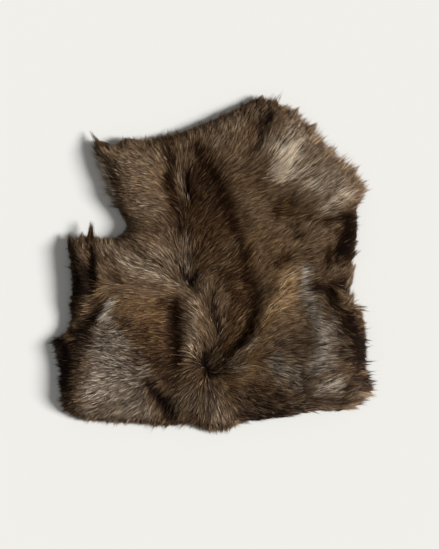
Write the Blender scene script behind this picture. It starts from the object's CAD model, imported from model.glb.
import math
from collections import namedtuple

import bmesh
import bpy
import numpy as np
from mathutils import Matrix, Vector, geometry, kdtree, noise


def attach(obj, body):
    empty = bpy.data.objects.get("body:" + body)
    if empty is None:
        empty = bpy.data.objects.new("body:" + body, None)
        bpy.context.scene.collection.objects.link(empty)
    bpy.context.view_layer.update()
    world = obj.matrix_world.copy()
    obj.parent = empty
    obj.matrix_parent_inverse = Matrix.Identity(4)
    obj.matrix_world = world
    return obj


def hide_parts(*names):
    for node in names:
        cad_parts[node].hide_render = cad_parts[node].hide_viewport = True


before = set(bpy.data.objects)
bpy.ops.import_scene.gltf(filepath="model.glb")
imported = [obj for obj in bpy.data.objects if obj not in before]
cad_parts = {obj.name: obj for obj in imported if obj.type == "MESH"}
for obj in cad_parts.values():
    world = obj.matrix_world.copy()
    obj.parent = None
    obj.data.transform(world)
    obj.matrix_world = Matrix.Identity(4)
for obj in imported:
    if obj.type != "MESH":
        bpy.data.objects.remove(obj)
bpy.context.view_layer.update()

# Reindeer skin seat pad: the tanned skin, the dense wool on it and the coat of lying hair.
# Lengths in the tables are millimetres on the hide's plan, as seen from above with the neck at the
# top. Angles are degrees, 0 to the right and 90 to the neck, and a lie is where the hair tips point.
# Where a value varies at random, a name in the plural holds its least and most, and a name in the
# singular its spread, or its mean and its spread.

MM = 0.001
NODE = "reindeer_hide"
BODY = "root"
PLAN_MIDDLE = np.array([0.43, 1.59]) * MM  # the plan's place that lies over the frame's origin
SEED = 23

# The hide's own sizes, as in the solid
PILE = 26 * MM
SHOULDER = 30 * MM
TUFT_RISE = 2.2 * MM
TUFT_LENGTH = 34 * MM
TUFT_LAYER = 0.0  # of the noise that raises the tufts

SKIN_THICKNESS = 1.8 * MM
SKIN_INSET = 4.5 * MM
SKIN_PITCH = 9 * MM
WOOL_INSET = 3.0 * MM
WOOL_DEPTH = 8.0 * MM
WOOL_PITCH = 5.2 * MM
WOOL_LEAST = 1.6 * MM

# Outside the rim the overhanging hair droops to the floor
DROOP = 0.55
FLOOR_CLEARANCE = 0.7 * MM

# The coat
TUFT_SPACING = 8.0 * MM
LOCK_SPACING = 1.2 * MM
HAIRS_PER_LOCK = 3
LOCK_RADIUS = 0.42 * MM
HAIR_LENGTH = 20 * MM
HAIR_WIDTH = 0.38 * MM
ROOT_DEPTH = 5.0 * MM
HAIR_POINTS = 3  # places along each hair, from its root to its tip
BANDS = ("neck_coat", "shoulder_coat", "back_coat", "loin_coat", "rump_coat")

# The grid that the charts of the hide are kept on
CHART_CELL = 1.5 * MM
CHART_MARGIN = 34 * MM
FAR_EDGE = 1.001  # keeps what is past the grid inside its last cell
RIM_SOFTNESS = 6 * MM
LIE_SOFTNESS = 5 * MM

# Smooth unevenness: its name, the length of its lumps and its own layer of noise
UNEVENNESS = (("drift", 22 * MM, 3.0), ("mottle", 11 * MM, 7.0), ("fray", 4.5 * MM, 11.0))

# reach_mm is how far the hair goes past the rim and wall_mm is the height of the coat at the rim
Stretch = namedtuple("Stretch", "name reach_mm wall_mm lie_deg places_mm")
RIM = (
    Stretch("left shoulder tip", 6, 11, 125, ((-143, 153), (-132, 150), (-119, 153))),
    Stretch(
        "neck cut",
        7,
        9,
        105,
        ((-106, 160), (-83, 157), (-62, 162), (-41, 166), (-19, 175), (1, 183), (23, 193)),
    ),
    Stretch("crown", 12, 8, 62, ((42, 202), (59, 207), (77, 203))),
    Stretch(
        "right shoulder",
        17,
        8,
        42,
        ((92, 195), (108, 181), (126, 162), (144, 145), (163, 127), (179, 110)),
    ),
    Stretch("right shoulder tip", 15, 8, 26, ((186, 100), (181, 81))),
    Stretch("right armpit", 5, 9, 20, ((179, 66), (180, 43), (177, 22))),
    Stretch("right tuft", 13, 9, 50, ((172, 6), (173, -8), (169, -25), (171, -42))),
    Stretch("right flank", 9, 8, -5, ((183, -54), (188, -69), (190, -94), (190, -118))),
    Stretch("right corner", 17, 6, 0, ((188, -133), (194, -150), (183, -168), (168, -177))),
    Stretch(
        "right tail cut",
        8,
        7,
        -10,
        ((144, -178), (123, -180), (104, -184), (81, -188), (56, -190), (36, -194)),
    ),
    Stretch("tail fan", 11, 7, 272, ((22, -200), (3, -203), (-14, -200))),
    Stretch(
        "left tail cut",
        8,
        7,
        235,
        ((-32, -195), (-58, -198), (-91, -195), (-126, -193), (-158, -190)),
    ),
    Stretch("left corner", 9, 8, 205, ((-177, -183), (-187, -170))),
    Stretch("left flank", 10, 4, 185, ((-188, -152), (-189, -128), (-193, -108), (-196, -93))),
    Stretch(
        "left flap",
        6,
        11,
        182,
        ((-183, -85), (-176, -68), (-176, -47), (-174, -23), (-176, 6), (-178, 25)),
    ),
    Stretch("flap end", 8, 12, 98, ((-169, 33), (-151, 35), (-133, 33))),
    Stretch("notch", 3, 5, 150, ((-117, 38), (-107, 51), (-114, 67))),
    Stretch("left shoulder side", 15, 10, 143, ((-123, 83), (-129, 103), (-138, 122), (-142, 140))),
)

# Ridges and troughs of the lying hair, as in the solid
Form = namedtuple("Form", "name x y half_length half_width angle rise")
RELIEF = (
    Form("upper spine", -36, 98, 35, 8, 100, -5),
    Form("middle spine", -33, 21, 44, 6, 97, -4),
    Form("upper whorl", -28, -22, 11, 9, 0, -6),
    Form("lower spine", 3, -69, 30, 6, 98, -4),
    Form("lower whorl", -4, -122, 11, 10, 0, -7),
    Form("neck valley", 3, 102, 38, 13, -66, -6),
    Form("right valley", 47, -48, 32, 11, 90, -7),
    Form("right valley foot", 31, -94, 30, 10, 50, -8),
    Form("tan ridge", 78, -39, 40, 17, 60, 6),
    Form("right lap", 41, -119, 26, 15, 40, 4),
    Form("left valley", -48, -79, 46, 12, 92, -7),
    Form("left spine bank", -18, -73, 42, 12, 95, 4),
    Form("flap crease", -152, 2, 34, 6, 90, -12),
    Form("flap", -168, -2, 32, 8, 92, 4),
    Form("left flank valley", -166, -69, 40, 14, 41, -8),
    Form("left haunch", -128, -142, 46, 30, 100, 4),
    Form("left tail valley", -62, -173, 22, 8, -59, -8),
    Form("left shoulder", -97, 108, 42, 26, 100, 3),
    Form("left neck valley", -57, 106, 32, 9, 100, -6),
    Form("crown dip", 64, 173, 20, 7, 60, -6),
    Form("cream mound", 97, 140, 26, 16, 60, 5),
    Form("armpit crease", 147, 63, 26, 7, 15, -8),
    Form("right shoulder", 153, 90, 32, 14, 30, 4),
    Form("right armpit", 166, 33, 26, 12, 90, -5),
    Form("tuft valley", 144, -29, 22, 8, 125, -7),
    Form("right flank ridge", 134, -98, 46, 14, 97, 4),
    Form("right tail dip", 69, -167, 40, 14, 5, -4),
    Form("tail fan", 2, -167, 25, 20, 90, 4),
    Form("shoulder dip", 93, 83, 11, 10, 0, -4),
)

# How the hair lies: places of the hide, each with its lie
LIE = {
    "left neck": (
        (-144, 150, 122), (-131, 136, 140), (-137, 118, 145), (-128, 96, 172), (-97, 146, 155),
        (-97, 108, 174), (-78, 127, 158), (-84, 77, 182), (-120, 77, 184), (-59, 152, 122),
        (-66, 133, 130), (-59, 102, 142), (-78, 65, 174), (-97, 48, 172), (-59, 52, 140),
        (-112, 100, 176), (-104, 126, 166), (-70, 92, 170), (-62, 76, 157),
        (-72, 33, 155), (-53, 21, 130),
    ),
    "spine": (
        (-41, 146, 90), (-38, 121, 88), (-28, 146, 72), (-22, 127, 60), (-9, 102, 42),
        (-9, 65, 45), (-22, 40, 58), (-41, 40, 95), (-28, 21, 84), (-43, 6, 112), (-32, -10, 95),
        (-16, 6, 46), (-9, -10, 38), (6, 20, 42), (12, -20, 30),
    ),
    "below the notch": (
        (-116, 27, 135), (-97, 15, 145), (-78, 6, 155), (-128, 2, 125), (-116, -10, 145),
        (-84, -10, 166), (-59, 2, 140),
    ),
    "flap": ((-168, 27, 95), (-151, 46, 88), (-168, 0, 150), (-168, -42, 175)),
    "left flank": (
        (-103, -29, 178), (-66, -29, 180), (-47, -29, 170), (-131, -42, 215), (-126, -60, 210),
        (-147, -85, 150), (-172, -67, 210), (-184, -98, 210), (-141, -98, 180),
        (-166, -117, 180), (-128, -114, 165), (-103, -123, 160), (-78, -67, 185),
        (-59, -54, 188), (-109, -54, 200), (-78, -104, 185), (-53, -98, 180), (-66, -123, 205),
    ),
    "left haunch": (
        (-141, -132, 185), (-172, -154, 190), (-122, -148, 200), (-103, -154, 205),
        (-153, -173, 200), (-97, -173, 215), (-84, -160, 240), (-66, -142, 210),
        (-41, -148, 218), (-22, -135, 218), (-59, -160, 235), (-28, -173, 232),
        (-47, -179, 250), (-70, -182, 245),
    ),
    "tail fan": (
        (-12, -167, 258), (-9, -185, 260), (3, -167, 275), (3, -198, 272), (16, -179, 290),
        (12, -154, 310), (28, -167, 320),
    ),
    "back": (
        (-28, -42, 142), (-12, -57, 130), (-22, -79, 138), (-12, -92, 120), (-16, -104, 110),
        (-33, -75, 166), (-32, -95, 166), (-28, -58, 150), (-6, -76, 118),
        (-34, -110, 180), (-4, -29, 100), (8, -34, 50), (4, -60, 72), (19, -42, 41), (19, -79, 50),
        (34, -57, 45), (49, -73, 58), (16, -104, 43), (3, -117, 47), (34, -108, 41),
        (66, -104, 28),
    ),
    "right lap": (
        (34, -132, 8), (66, -132, -26), (97, -132, -18), (3, -147, -54), (22, -147, -16),
        (19, -162, -47), (66, -160, -12), (97, -147, -21),
    ),
    "right haunch": (
        (97, -164, 4), (109, -162, 19), (147, -162, 10), (169, -162, 28), (184, -162, 22),
        (124, -147, 36), (160, -147, 25), (66, -119, -15), (109, -119, -10), (124, -117, 6),
        (172, -117, 13),
    ),
    "right flank": (
        (124, -102, 18), (154, -102, 11), (169, -102, -18), (109, -87, 4), (154, -82, -30),
        (139, -72, -18), (124, -72, -28), (79, -72, 25), (64, -60, 52), (94, -57, 12),
        (139, -57, -15), (154, -57, -31), (94, -42, 18), (124, -42, 11), (139, -42, -44),
        (154, -29, -50), (159, -4, 45), (172, -4, 72), (172, -29, 65), (141, 3, 60),
        (109, 3, 2), (124, -12, 16), (94, -12, 33), (79, -27, 46), (49, 3, 51), (4, 3, 26),
        (34, -12, 26), (34, -27, 10), (64, -27, 42),
    ),
    "right blade": (
        (34, 21, 57), (64, 21, 30), (94, 18, 44), (124, 18, 16), (154, 18, 48), (4, 48, 44),
        (34, 45, 20), (64, 40, 33), (109, 48, 46), (139, 48, 24), (4, 78, 48), (49, 70, 20),
        (79, 63, 4), (109, 70, 28), (154, 68, 18), (169, 80, 28), (184, 90, 22), (79, 93, 22),
        (124, 93, 34), (148, 92, 32), (176, 102, 32),
    ),
    "right neck": (
        (4, 108, 57), (34, 108, 18), (64, 108, 16), (94, 108, 28), (139, 108, 38),
        (19, 123, 44), (64, 127, 50), (97, 123, 44), (120, 118, 38), (159, 127, 42), (4, 152, 57),
        (64, 152, 65), (94, 142, 54), (94, 158, 56), (120, 140, 44), (141, 146, 45), (4, 182, 55),
        (62, 190, 57), (94, 171, 54), (78, 202, 55),
    ),
}

# The coat's colours. Each mark is painted over those before it, round one place or along a line
# of places. Shade runs from black at 0 to white at 1 and warmth from grey at 0 to tan at 1.
BASE_SHADE = 0.26
BASE_WARMTH = 0.6
MARK_EDGE = 3  # a higher power ends a mark more sharply
Mark = namedtuple("Mark", "name half_width shade warmth places")
COAT = (
    # Neck and left shoulder
    Mark("left shoulder", 34, 0.275, 0.5, ((-104, 132), (-96, 84))),
    Mark("left shoulder pale", 20, 0.315, 0.45, ((-106, 138), (-88, 128))),
    Mark("left shoulder inner rim", 9, 0.32, 0.62, ((-76, 118), (-72, 98), (-68, 84))),
    Mark("left shoulder foot", 18, 0.24, 0.45, ((-104, 76), (-78, 72))),
    Mark("shoulder tip", 9, 0.35, 0.55, ((-142, 150), (-126, 146))),
    Mark("shoulder dashes", 6, 0.24, 0.5, ((-133, 134), (-129, 118))),
    Mark("shoulder dashes low", 6.5, 0.16, 0.5, ((-125, 108), (-122, 94))),
    Mark("shoulder haze", 4.5, 0.50, 0.2, ((-145, 136), (-139, 119), (-132, 102), (-126, 86))),
    Mark("notch side", 9, 0.29, 0.55, ((-110, 74), (-108, 62), (-98, 50))),
    Mark("neck top", 11, 0.315, 0.56, ((-106, 152), (-88, 154), (-72, 152))),
    Mark("neck strip top", 9, 0.17, 0.75, ((-58, 156), (-50, 146))),
    Mark("neck strip", 8, 0.11, 0.8, ((-52, 140), (-47, 134))),
    Mark("neck strip foot", 8, 0.20, 0.7, ((-49, 122), (-47, 112))),
    Mark("neck middle", 8, 0.26, 0.6, ((-36, 164), (-38, 146), (-36, 130))),
    Mark("neck dip", 8, 0.085, 1.0, ((-60, 114), (-55, 98), (-49, 84), (-40, 78))),
    Mark("neck rim", 7, 0.27, 0.6, ((-40, 168), (-20, 172))),
    Mark("neck rim right", 7, 0.36, 0.45, ((-8, 176), (12, 186), (32, 194))),
    Mark("neck hump", 26, 0.31, 0.48, ((4, 168), (34, 178))),
    Mark("neck hump pale", 10, 0.345, 0.4, ((10, 156), (18, 160))),
    Mark("hump side", 8, 0.24, 0.6, ((30, 164), (34, 152))),
    Mark("neck side", 14, 0.31, 0.62, ((30, 146), (46, 160))),
    # Dark back between the parting and the right blade
    Mark("dark back", 19, 0.11, 0.9, ((-8, 108), (2, 86))),
    Mark("dark back edge", 8, 0.11, 0.9, ((-22, 122), (-24, 106), (-18, 92))),
    Mark("dark back foot", 17, 0.155, 0.95, ((-22, 72), (2, 62))),
    Mark("brown back", 18, 0.155, 0.9, ((-18, 44), (8, 46))),
    Mark("brown back foot", 20, 0.19, 0.8, ((-2, 18), (20, 4))),
    Mark("brown back side", 8, 0.16, 0.85, ((-13, 30), (-11, 10))),
    Mark("brown back low", 9, 0.14, 0.9, ((26, -12), (32, -34))),
    Mark("band at the neck", 7, 0.08, 0.8, ((-19, 156), (-13, 142))),
    Mark("band", 12, 0.072, 0.95, ((-9, 140), (-5, 126), (2, 112), (10, 98), (18, 82))),
    Mark("band middle", 10, 0.08, 1.0, ((20, 80), (23, 66), (31, 50), (39, 36))),
    Mark("band foot", 11, 0.055, 1.0, ((43, 32), (46, 16), (48, 0), (49, -20))),
    Mark("band valley", 14, 0.125, 1.0, ((46, -34), (50, -50))),
    Mark("band tail", 7, 0.06, 1.0, ((53, -58), (47, -76), (36, -92), (20, -108))),
    Mark("spine tuft", 6, 0.33, 0.45, ((-40, 118), (-39, 106))),
    Mark("spine curl", 5, 0.27, 0.5, ((-40, 98), (-33, 90), (-28, 86))),
    Mark("parting", 2.6, 0.03, 0.6, ((-30, 122), (-32, 108), (-29, 98), (-22, 86))),
    Mark("parting side", 10, 0.145, 0.85, ((-53, 84), (-50, 70), (-45, 56), (-36, 46))),
    Mark("parting middle", 4, 0.07, 0.8, ((-41, 78), (-41, 62), (-40, 46))),
    # Left side below the notch
    Mark("below the notch", 15, 0.25, 0.58, ((-98, 44), (-66, 44))),
    Mark("beige slope", 17, 0.352, 0.34, ((-118, 14), (-92, 0), (-66, -8))),
    Mark("beige end", 8, 0.335, 0.4, ((-60, -8), (-48, -22))),
    Mark("beige slope top", 11, 0.335, 0.45, ((-136, 26), (-120, 24))),
    Mark("beige spine side", 13, 0.34, 0.4, ((-70, 22), (-52, 6))),
    Mark("slope streaks", 4.5, 0.19, 0.45, ((-108, 38), (-96, 24), (-84, 10), (-66, 2))),
    Mark("slope edge", 9, 0.21, 0.6, ((-132, 10), (-124, -8))),
    Mark("spine streaks", 8, 0.32, 0.36, ((-32, 34), (-33, 16), (-31, 4))),
    Mark("above the whorl", 6, 0.17, 0.4, ((-46, 18), (-42, 10))),
    Mark("upper whorl", 4, 0.08, 0.35, ((-38, 0), (-32, -14), (-27, -17))),
    Mark("upper whorl side", 4, 0.08, 0.4, ((-25, -16), (-17, -9))),
    # Flap and left edge
    Mark("flap", 12, 0.29, 0.5, ((-167, 30), (-166, 14))),
    Mark("flap rim", 6, 0.11, 0.5, ((-180, 24), (-177, 4))),
    Mark("flap low", 11, 0.075, 0.6, ((-167, -2), (-168, -10))),
    Mark("flap foot", 14, 0.008, 0.7, ((-167, -20), (-164, -28), (-171, -36))),
    Mark("flap crease", 5, 0.12, 0.8, ((-154, 26), (-155, 10))),
    Mark("flap crease low", 6, 0.025, 0.8, ((-156, 2), (-157, -10), (-157, -24))),
    Mark("crease side", 11, 0.31, 0.62, ((-141, -4), (-139, -26), (-133, -34))),
    Mark("flank rim", 11, 0.12, 0.65, ((-176, -46), (-172, -58))),
    Mark("flank tan", 8, 0.195, 0.65, ((-157, -44), (-147, -46))),
    Mark("flank dark", 9, 0.03, 0.5, ((-140, -55), (-152, -68), (-164, -80), (-176, -92))),
    Mark("flank brown", 7, 0.11, 0.6, ((-172, -64), (-168, -74))),
    # Left flank and haunch
    Mark("left valley", 19, 0.10, 1.0, ((-64, -56), (-64, -80), (-61, -112))),
    Mark("left valley floor", 8, 0.03, 1.0, ((-50, -46), (-51, -70), (-50, -96), (-50, -118))),
    Mark("warm flank", 24, 0.27, 0.8, ((-102, -46), (-86, -62))),
    Mark("warm flank top", 9, 0.27, 0.55, ((-124, -30), (-96, -28), (-70, -30))),
    Mark("flank middle", 17, 0.165, 0.95, ((-90, -88), (-74, -102))),
    Mark("flank foot", 14, 0.11, 0.85, ((-72, -118), (-58, -132))),
    Mark("left valley line", 7, 0.035, 1.0, ((-49, -62), (-50, -80), (-50, -100), (-49, -116))),
    Mark("below the flank", 8, 0.11, 0.8, ((-54, -146), (-44, -152))),
    Mark("left haunch", 28, 0.295, 0.05, ((-134, -104), (-128, -150))),
    Mark("left haunch right", 16, 0.285, 0.14, ((-104, -136), (-100, -168))),
    Mark("left haunch pale", 15, 0.345, 0.14, ((-148, -140), (-134, -160))),
    Mark("left haunch low", 10, 0.38, 0.18, ((-160, -157), (-153, -168))),
    Mark("haunch shade", 9, 0.21, 0.15, ((-112, -116), (-99, -132))),
    Mark("left haunch top", 9, 0.27, 0.1, ((-122, -84), (-112, -94))),
    Mark("haunch edge", 9, 0.14, 0.4, ((-100, -106), (-91, -122))),
    Mark("haunch lock", 6, 0.28, 0.2, ((-90, -128), (-82, -142))),
    Mark("white streak", 5, 0.52, 0.0, ((-128, -46), (-134, -54), (-140, -65))),
    Mark("white streak foot", 4, 0.33, 0.0, ((-146, -76), (-136, -73), (-128, -64))),
    Mark("flank dark foot", 8, 0.08, 0.4, ((-173, -85), (-158, -91))),
    Mark("white streak below", 6, 0.21, 0.1, ((-142, -82), (-116, -86))),
    Mark("flank under", 9, 0.15, 0.75, ((-113, -71), (-104, -82))),
    Mark("left edge", 14, 0.035, 0.6, ((-178, -94), (-182, -110), (-186, -122))),
    Mark("left edge low", 8, 0.08, 0.6, ((-186, -134), (-187, -150))),
    Mark("left edge foot", 7, 0.22, 0.5, ((-183, -164), (-176, -174))),
    Mark("left edge fade", 9, 0.085, 0.45, ((-168, -98), (-170, -110))),
    Mark("left edge top", 7, 0.05, 0.5, ((-193, -88), (-191, -98))),
    Mark("left lobe", 6, 0.34, 0.7, ((-187, -86), (-182, -90))),
    Mark("left tail rim", 10, 0.34, 0.2, ((-160, -180), (-120, -186), (-84, -188))),
    Mark("tail valley", 7.5, 0.045, 0.7, ((-83, -146), (-73, -161), (-62, -175), (-55, -189))),
    Mark("tail valley side", 8, 0.11, 0.45, ((-50, -166), (-48, -172))),
    Mark("tail valley foot", 8, 0.08, 0.5, ((-54, -178), (-50, -190))),
    # Lower back and tail
    Mark("spine bank", 13.5, 0.355, 0.5, ((-27, -42), (-27, -72), (-28, -106))),
    Mark("spine bank rim", 6, 0.29, 0.5, ((-8, -26), (0, -36))),
    Mark("right of the parting", 9, 0.30, 0.6, ((12, -40), (14, -62), (20, -72))),
    Mark("right bank", 10, 0.17, 0.9, ((32, -54), (30, -74), (18, -94))),
    Mark("lower parting", 3, 0.12, 0.4, ((1, -36), (1, -60), (8, -72), (10, -88))),
    Mark("lower parting foot", 3.4, 0.12, 0.4, ((4, -96), (-7, -106), (-9, -118))),
    Mark("spine bank foot", 7, 0.36, 0.5, ((-25, -94), (-27, -106))),
    Mark("lower whorl", 5, 0.09, 0.4, ((-9, -113), (-7, -124))),
    Mark("lower whorl side", 6, 0.11, 0.7, ((12, -120), (20, -110))),
    Mark("lower whorl foot", 6, 0.24, 0.65, ((-11, -136), (8, -132))),
    Mark("below the whorl", 13, 0.29, 0.6, ((-12, -146), (10, -144))),
    Mark("whorl left", 10, 0.145, 0.7, ((-36, -138), (-33, -152))),
    Mark("left of the tail", 12, 0.25, 0.38, ((-34, -160), (-26, -176))),
    Mark("tail fan", 15, 0.30, 0.4, ((-4, -166), (6, -192))),
    Mark("tail fan tips", 7, 0.34, 0.35, ((2, -196), (14, -188))),
    Mark("right lap", 12, 0.26, 0.85, ((42, -122), (58, -112))),
    Mark("lap edge", 8, 0.16, 0.8, ((70, -114), (70, -126))),
    Mark("right lap pale", 9, 0.36, 0.35, ((30, -122), (42, -126))),
    Mark("lap foot", 13, 0.275, 0.8, ((28, -146), (50, -142))),
    Mark("right tail", 14, 0.115, 0.6, ((44, -168), (84, -164))),
    Mark("right tail low", 9, 0.05, 0.5, ((46, -189), (66, -187), (88, -185), (108, -181))),
    Mark("right tail top", 9, 0.15, 0.7, ((56, -152), (74, -152))),
    # Right neck, shoulder and blade
    Mark("crown", 12, 0.30, 0.5, ((46, 194), (58, 200))),
    Mark("crown point", 5, 0.13, 0.5, ((60, 206), (61, 197))),
    Mark("crown side", 9, 0.28, 0.5, ((72, 203), (84, 196))),
    Mark("crown brown", 7, 0.24, 0.7, ((52, 178), (50, 166))),
    Mark("crown left", 5, 0.15, 0.65, ((45, 196), (48, 187))),
    Mark("blade ridge", 18, 0.275, 0.7, ((40, 106), (64, 108))),
    Mark("blade", 16, 0.305, 0.64, ((52, 78), (68, 62))),
    Mark("blade foot", 15, 0.30, 0.78, ((56, 38), (70, 42), (84, 30))),
    Mark("blade right", 14, 0.305, 0.7, ((92, 46), (104, 24))),
    Mark("middle right", 15, 0.315, 0.76, ((64, 12), (68, -10))),
    Mark("below the armpit", 16, 0.31, 0.6, ((124, 34), (142, 38))),
    Mark("flank top", 14, 0.26, 0.65, ((112, 6), (132, 10))),
    Mark("neck field", 14, 0.24, 0.6, ((56, 144), (60, 124), (68, 112))),
    Mark("shoulder field", 26, 0.355, 0.36, ((120, 122), (158, 106))),
    Mark("shoulder field top", 15, 0.38, 0.36, ((104, 176), (120, 158), (144, 138))),
    Mark("shoulder rim", 6, 0.32, 0.42, ((108, 186), (130, 164), (150, 145), (170, 124))),
    Mark("shoulder rim low", 7, 0.33, 0.42, ((178, 112), (188, 96))),
    Mark("cream side", 11, 0.34, 0.3, ((70, 150), (82, 162), (104, 158))),
    Mark("cream", 13.5, 0.66, 0.35, ((87, 121), (92, 134), (97, 146))),
    Mark("cream core", 11, 1.0, 0.38, ((90, 124), (96, 136))),
    Mark("cream foot", 7, 0.48, 0.4, ((94, 114), (106, 116))),
    Mark("streak low", 6, 0.34, 0.4, ((142, 71), (162, 75))),
    Mark("shoulder streak", 8, 0.43, 0.35, ((142, 78), (156, 82), (173, 92))),
    Mark("shoulder pale", 9, 0.385, 0.35, ((124, 104), (142, 100))),
    Mark("shoulder shade", 9, 0.27, 0.42, ((126, 148), (134, 138), (142, 134))),
    Mark("crown dip", 7.5, 0.07, 0.55, ((75, 195), (66, 184), (62, 172))),
    Mark("crown dip foot", 5, 0.13, 0.5, ((61, 162), (58, 150))),
    Mark("shoulder spot", 10, 0.135, 0.95, ((87, 69), (95, 79))),
    Mark("spot right", 8, 0.31, 0.5, ((112, 92), (126, 88))),
    Mark("spot foot", 8, 0.23, 0.75, ((100, 70), (118, 66))),
    Mark("spot crease", 5.5, 0.14, 0.7, ((106, 60), (103, 48), (112, 40))),
    Mark("armpit line side", 5, 0.17, 0.8, ((124, 62), (144, 56))),
    Mark("armpit line", 3.4, 0.07, 0.7, ((146, 58), (162, 62), (178, 68))),
    Mark("armpit edge", 11, 0.02, 1.0, ((174, 58), (174, 44), (170, 28))),
    Mark("armpit floor", 13, 0.01, 1.0, ((168, 34), (164, 20), (170, 14))),
    Mark("armpit red", 6, 0.09, 1.0, ((148, 22), (146, 8))),
    Mark("armpit foot", 8, 0.15, 0.75, ((160, 8), (172, 4))),
    Mark("flank spot", 8, 0.13, 0.85, ((84, 4), (94, 12))),
    # Right flank and haunch
    Mark("tan ridge", 18, 0.385, 0.88, ((101, -12), (92, -36), (80, -56))),
    Mark("tan ridge foot", 10, 0.36, 0.95, ((72, -66), (70, -86))),
    Mark("ridge line", 2.6, 0.37, 0.45, ((30, -112), (46, -100), (62, -84))),
    Mark("middle haunch", 22, 0.24, 0.5, ((92, -82), (106, -92))),
    Mark("haunch top", 12, 0.33, 0.7, ((92, -70), (110, -66))),
    Mark("grey haunch", 14, 0.28, 0.06, ((84, -120), (92, -132))),
    Mark("haunch low", 13, 0.205, 0.25, ((110, -128), (112, -148))),
    Mark("grey band top", 6.5, 0.355, 0.0, ((121, -2), (119, -18), (120, -32))),
    Mark("grey band", 11, 0.34, 0.04, ((124, -40), (129, -58), (137, -76))),
    Mark("grey band edge", 7, 0.31, 0.1, ((150, -112), (152, -126))),
    Mark("grey band foot", 13, 0.36, 0.06, ((144, -92), (139, -110), (134, -124))),
    Mark("grey band side", 8, 0.28, 0.15, ((152, -70), (156, -88))),
    Mark("right haunch", 12, 0.405, 0.18, ((138, -152), (161, -149))),
    Mark("right haunch pale", 6, 0.42, 0.16, ((148, -148), (158, -138))),
    Mark("right tail rim", 9, 0.16, 0.4, ((106, -178), (128, -174))),
    Mark("right tail pale", 9, 0.25, 0.35, ((146, -166), (160, -166))),
    Mark("tuft hollow", 9, 0.05, 0.8, ((134, -24), (144, -28), (152, -40))),
    Mark("tuft hollow foot", 7, 0.07, 0.6, ((152, -46), (158, -56))),
    Mark("tuft curl", 6, 0.31, 0.55, ((150, -2), (158, -12))),
    Mark("tuft side", 8, 0.06, 0.8, ((168, -16), (163, -26))),
    Mark("tuft", 6, 0.28, 0.6, ((172, -4), (174, -12))),
    Mark("tuft foot", 6, 0.21, 0.6, ((168, -34), (172, -42))),
    Mark("right edge", 11, 0.02, 0.8, ((175, -64), (183, -84), (189, -112), (190, -119))),
    Mark("right edge fade", 8, 0.075, 0.6, ((165, -66), (170, -84))),
    Mark("right edge strands", 7, 0.13, 0.35, ((166, -98), (172, -112))),
    Mark("corner top", 9, 0.085, 0.6, ((187, -124), (187, -135), (191, -144))),
    Mark("corner dark", 7, 0.15, 0.45, ((176, -148), (186, -152))),
    Mark("corner", 7, 0.18, 0.4, ((172, -164), (184, -162))),
)

# Where the hair is longer or shorter than elsewhere
GROWTH_EDGE = 1.5  # a higher power ends the change more sharply
Growth = namedtuple("Growth", "name x y radius length")
GROWTH = (
    Growth("right shoulder", 130, 130, 60, 33),
    Growth("crown", 70, 195, 30, 24),
    Growth("tail fan", 2, -175, 30, 24),
    Growth("right corner", 180, -155, 26, 27),
    Growth("upper whorl", -28, -18, 15, 13),
    Growth("lower whorl", 1, -120, 22, 11),
    Growth("left shoulder", -100, 105, 38, 13),
    Growth("left flank", -90, -78, 40, 15),
    Growth("spine bank", -22, -75, 24, 17),
    Growth("left haunch", -130, -140, 45, 17),
)

# Locks that stand out from the coat
Spike = namedtuple("Spike", "name x y length lie height root_radius hairs shade warmth")
SPIKES = (
    Spike("shoulder point", -134, 143, 20, 128, 7, 11.5, 420, 0.21, 0.6),
    Spike("shoulder whisker", -138, 147, 31, 124, 6, 5.0, 60, 0.24, 0.5),
    Spike("crown tuft", 58, 201, 16, 72, 9, 7, 200, 0.21, 0.6),
    Spike("crown tuft right", 75, 198, 14, 66, 9, 7, 220, 0.22, 0.6),
    Spike("shoulder tuft", 98, 187, 19, 52, 8, 6, 140, 0.30, 0.45),
    Spike("shoulder tuft low", 119, 168, 19, 46, 8, 6, 140, 0.28, 0.5),
    Spike("tuft strand", 171, -10, 18, 56, 5, 5, 90, 0.31, 0.5),
    Spike("tuft strand middle", 167, -26, 19, 56, 5, 5, 90, 0.33, 0.45),
    Spike("tuft strand low", 169, -47, 20, 60, 5, 5, 90, 0.33, 0.45),
    Spike("shoulder tip tuft", 178, 92, 20, 26, 7, 7, 140, 0.30, 0.45),
    Spike("flap horn", -153, 18, 41, 88, 14, 4.8, 520, 0.15, 0.8),
    Spike("flap tuft", -173, 20, 24, 106, 9, 8, 260, 0.20, 0.5),
    Spike("flap tuft right", -163, 24, 22, 92, 9, 7, 220, 0.27, 0.5),
    Spike("corner lock", 180, -146, 25, -18, 6, 8, 380, 0.16, 0.55),
    Spike("corner lock low", 172, -157, 28, -14, 5, 7, 340, 0.27, 0.5),
    Spike("corner fill", 182, -157, 19, -5, 5, 8, 320, 0.22, 0.5),
    Spike("corner whisker", 178, -158, 31, -8, 4, 3.6, 120, 0.33, 0.45),
    Spike("corner whisker low", 160, -173, 27, -12, 4, 4.5, 140, 0.28, 0.45),
)


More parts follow.
